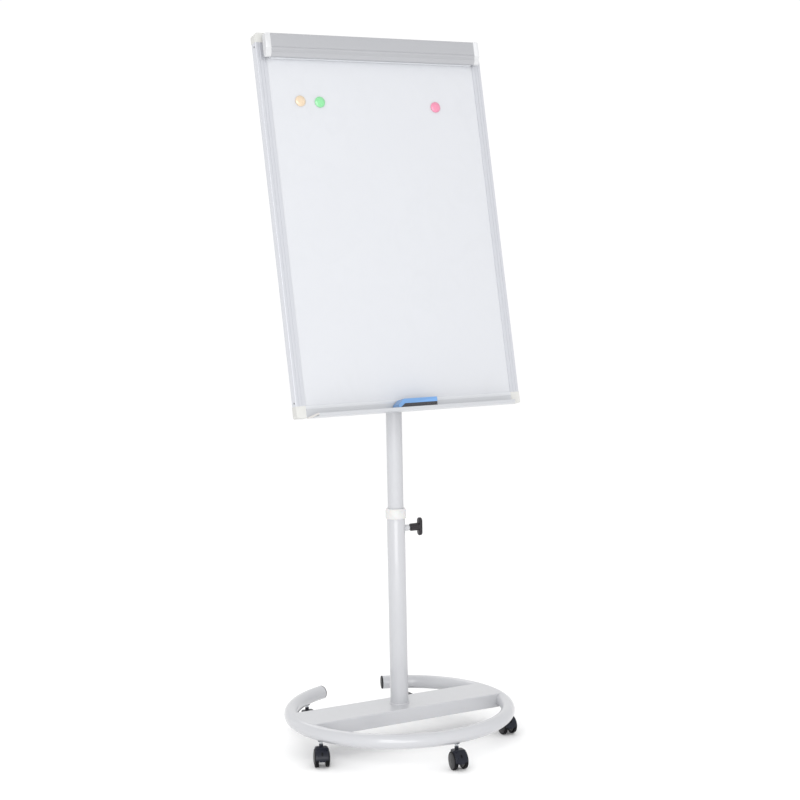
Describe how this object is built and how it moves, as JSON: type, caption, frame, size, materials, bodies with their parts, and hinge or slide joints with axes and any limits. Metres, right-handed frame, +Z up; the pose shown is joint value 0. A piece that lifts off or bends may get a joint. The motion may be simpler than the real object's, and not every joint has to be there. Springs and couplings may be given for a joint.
{
  "type": "flip chart easel",
  "caption": "Mobile flip chart easel: tilting framed board with paper clamp and pen tray on a telescopic column, on a round tube base with swivel casters.",
  "frame": {"origin": "on the floor under the column's axis", "axes": "+X to the right of a person facing the board, -Y towards that person, +Z up"},
  "size_m": [0.701, 0.6701, 1.9965],
  "materials": {
    "base_paint": "gloss powder coat, light grey",
    "mast_paint": "gloss powder coat, light grey",
    "bracket_paint": "satin powder coat, grey",
    "plug_plastic": "fine matt, dark grey",
    "collar_plastic": "satin, off-white",
    "bush_plastic": "plain moulded",
    "zinc_steel": "bright zinc",
    "spring_steel": "drawn wire",
    "knob_plastic": "satin, near black",
    "stem_chrome": "bright plate",
    "caster_hood_plastic": "semi-gloss, blue-black",
    "caster_wheel_plastic": "satin, dark blue-grey",
    "frame_aluminium": "satin anodised",
    "corner_cap_plastic": "satin, light warm grey",
    "tray_cap_plastic": "semi-gloss, white",
    "writing_enamel": "gloss lacquer, cool white",
    "panel_fibreboard": "raw fibreboard",
    "back_steel": "satin grey primer coat",
    "clamp_aluminium": "satin anodised",
    "clamp_cap_plastic": "satin, light grey",
    "grip_rubber": "matt, light grey",
    "magnet_orange": "gloss, pale orange",
    "magnet_green": "gloss, light green",
    "magnet_pink": "gloss, pink",
    "eraser_blue": "satin, mid blue",
    "eraser_felt": "dense felt, near black"
  },
  "bodies": {
    "base": {"base_ring": "base_paint", "cross_channel": "base_paint", "ring_end_plugs": "plug_plastic", "column_foot": "base_paint", "column_bolt_and_washer": "zinc_steel", "lower_tube": "base_paint", "lock_boss": "base_paint", "collar": "collar_plastic", "caster_stems": "stem_chrome"},
    "lock_pad": {"lock_pad": "zinc_steel"},
    "lock_knob": {"lock_screw": "zinc_steel", "lock_knob": "knob_plastic"},
    "mast_slider": {"guide_bush": "bush_plastic"},
    "mast": {"upper_tube": "mast_paint", "head_clevis": "mast_paint"},
    "board": {"frame_left": "frame_aluminium", "frame_right": "frame_aluminium", "frame_top": "frame_aluminium", "frame_bottom": "frame_aluminium", "corner_caps": "corner_cap_plastic", "writing_sheet": "writing_enamel", "panel_core": "panel_fibreboard", "back_sheet": "back_steel", "pen_tray": "frame_aluminium", "tray_end_caps": "tray_cap_plastic", "tilt_bracket": "bracket_paint", "board_screws": "zinc_steel", "pivot_bolt": "zinc_steel", "clamp_hinge_lugs": "zinc_steel", "clamp_springs": "spring_steel"},
    "tilt_washer": {"tilt_washer": "zinc_steel"},
    "tilt_knob": {"tilt_knob": "knob_plastic"},
    "clamp": {"clamp_rail": "clamp_aluminium", "clamp_end_caps": "clamp_cap_plastic", "clamp_grip": "grip_rubber"},
    "magnet_orange": {"magnet_orange": "magnet_orange"},
    "magnet_green": {"magnet_green": "magnet_green"},
    "magnet_pink": {"magnet_pink": "magnet_pink"},
    "eraser": {"eraser_case": "eraser_blue", "eraser_felt": "eraser_felt"},
    "caster_rear_left": {"caster_hood_rear_left": "caster_hood_plastic", "caster_axle_rear_left": "zinc_steel"},
    "wheel_rear_left_a": {"caster_wheel_rear_left_a": "caster_wheel_plastic"},
    "wheel_rear_left_b": {"caster_wheel_rear_left_b": "caster_wheel_plastic"},
    "caster_left": {"caster_hood_left": "caster_hood_plastic", "caster_axle_left": "zinc_steel"},
    "wheel_left_a": {"caster_wheel_left_a": "caster_wheel_plastic"},
    "wheel_left_b": {"caster_wheel_left_b": "caster_wheel_plastic"},
    "caster_front": {"caster_hood_front": "caster_hood_plastic", "caster_axle_front": "zinc_steel"},
    "wheel_front_a": {"caster_wheel_front_a": "caster_wheel_plastic"},
    "wheel_front_b": {"caster_wheel_front_b": "caster_wheel_plastic"},
    "caster_right": {"caster_hood_right": "caster_hood_plastic", "caster_axle_right": "zinc_steel"},
    "wheel_right_a": {"caster_wheel_right_a": "caster_wheel_plastic"},
    "wheel_right_b": {"caster_wheel_right_b": "caster_wheel_plastic"},
    "caster_rear_right": {"caster_hood_rear_right": "caster_hood_plastic", "caster_axle_rear_right": "zinc_steel"},
    "wheel_rear_right_a": {"caster_wheel_rear_right_a": "caster_wheel_plastic"},
    "wheel_rear_right_b": {"caster_wheel_rear_right_b": "caster_wheel_plastic"}
  },
  "joints": [
    {"name": "swivel_rear_left", "type": "hinge", "parent": "base", "child": "caster_rear_left", "pos_m": [-0.17475, 0.25907, 0.06], "axis": [0, 0, 1], "continuous": true},
    {"name": "roll_rear_left_a", "type": "hinge", "parent": "caster_rear_left", "child": "wheel_rear_left_a", "pos_m": [-0.17628, 0.24818, 0.0255], "axis": [0.9903, -0.1392, 0], "continuous": true},
    {"name": "roll_rear_left_b", "type": "hinge", "parent": "caster_rear_left", "child": "wheel_rear_left_b", "pos_m": [-0.17628, 0.24818, 0.0255], "axis": [0.9903, -0.1392, 0], "continuous": true},
    {"name": "swivel_left", "type": "hinge", "parent": "base", "child": "caster_left", "pos_m": [-0.29754, -0.09553, 0.06], "axis": [0, 0, 1], "continuous": true},
    {"name": "roll_left_a", "type": "hinge", "parent": "caster_left", "child": "wheel_left_a", "pos_m": [-0.3013, -0.10587, 0.0255], "axis": [0.9397, -0.342, 0], "continuous": true},
    {"name": "roll_left_b", "type": "hinge", "parent": "caster_left", "child": "wheel_left_b", "pos_m": [-0.3013, -0.10587, 0.0255], "axis": [0.9397, -0.342, 0], "continuous": true},
    {"name": "swivel_front", "type": "hinge", "parent": "base", "child": "caster_front", "pos_m": [0.00873, -0.31238, 0.06], "axis": [0, 0, 1], "continuous": true},
    {"name": "roll_front_a", "type": "hinge", "parent": "caster_front", "child": "wheel_front_a", "pos_m": [0.00739, -0.3233, 0.0255], "axis": [0.9925, -0.1219, 0], "continuous": true},
    {"name": "roll_front_b", "type": "hinge", "parent": "caster_front", "child": "wheel_front_b", "pos_m": [0.00739, -0.3233, 0.0255], "axis": [0.9925, -0.1219, 0], "continuous": true},
    {"name": "swivel_right", "type": "hinge", "parent": "base", "child": "caster_right", "pos_m": [0.29671, -0.09807, 0.06], "axis": [0, 0, 1], "continuous": true},
    {"name": "roll_right_a", "type": "hinge", "parent": "caster_right", "child": "wheel_right_a", "pos_m": [0.29614, -0.10906, 0.0255], "axis": [0.9986, -0.0523, 0], "continuous": true},
    {"name": "roll_right_b", "type": "hinge", "parent": "caster_right", "child": "wheel_right_b", "pos_m": [0.29614, -0.10906, 0.0255], "axis": [0.9986, -0.0523, 0], "continuous": true},
    {"name": "swivel_rear_right", "type": "hinge", "parent": "base", "child": "caster_rear_right", "pos_m": [0.16001, 0.26843, 0.06], "axis": [0, 0, 1], "continuous": true},
    {"name": "roll_rear_right_a", "type": "hinge", "parent": "caster_rear_right", "child": "wheel_rear_right_a", "pos_m": [0.16001, 0.25743, 0.0255], "axis": [1, 0, 0], "continuous": true},
    {"name": "roll_rear_right_b", "type": "hinge", "parent": "caster_rear_right", "child": "wheel_rear_right_b", "pos_m": [0.16001, 0.25743, 0.0255], "axis": [1, 0, 0], "continuous": true},
    {"name": "mast_height", "type": "slide", "parent": "base", "child": "mast_slider", "axis": [0, 0, 1], "range_m": [-0.29, 0.04]},
    {"name": "mast_turn", "type": "hinge", "parent": "mast_slider", "child": "mast", "pos_m": [0, 0, 0.52], "axis": [0, 0, 1], "continuous": true},
    {"name": "board_tilt", "type": "hinge", "parent": "mast", "child": "board", "pos_m": [0, 0, 1.232], "axis": [-1, 0, 0], "range_deg": [-11.7, 33.3]},
    {"name": "lock_pad_slide", "type": "slide", "parent": "base", "child": "lock_pad", "axis": [1, 0, 0], "range_m": [0, 0.00376]},
    {"name": "lock_knob_turn", "type": "hinge", "parent": "lock_pad", "child": "lock_knob", "pos_m": [0.077, 0, 0.6195], "axis": [1, 0, 0], "range_deg": [0, 1080]},
    {"name": "tilt_washer_slide", "type": "slide", "parent": "board", "child": "tilt_washer", "axis": [1, 0, 0], "range_m": [0, 0.00251]},
    {"name": "tilt_knob_turn", "type": "hinge", "parent": "tilt_washer", "child": "tilt_knob", "pos_m": [0.035, 0, 1.232], "axis": [1, 0, 0], "range_deg": [0, 720]},
    {"name": "clamp_open", "type": "hinge", "parent": "board", "child": "clamp", "pos_m": [0, 0.0827, 1.97935], "axis": [-1, 0, 0], "range_deg": [0, 35], "stiffness_Nm_per_rad": 0.6, "springref_deg": -29.79},
    {"name": "magnet_orange_pull", "type": "slide", "parent": "board", "child": "magnet_orange", "axis": [0, -0.9792, 0.2028], "range_m": [0, 0.05]},
    {"name": "magnet_green_pull", "type": "slide", "parent": "board", "child": "magnet_green", "axis": [0, -0.9792, 0.2028], "range_m": [0, 0.05]},
    {"name": "magnet_pink_pull", "type": "slide", "parent": "board", "child": "magnet_pink", "axis": [0, -0.9792, 0.2028], "range_m": [0, 0.05]},
    {"name": "eraser_lift", "type": "slide", "parent": "board", "child": "eraser", "axis": [0, 0.2028, 0.9792], "range_m": [0, 0.06]}
  ],
  "couplings": [
    {"joint": "lock_pad_slide", "follows": "lock_knob_turn", "m_per_rad": 0.00019894},
    {"joint": "tilt_washer_slide", "follows": "tilt_knob_turn", "m_per_rad": 0.00019894}
  ]
}
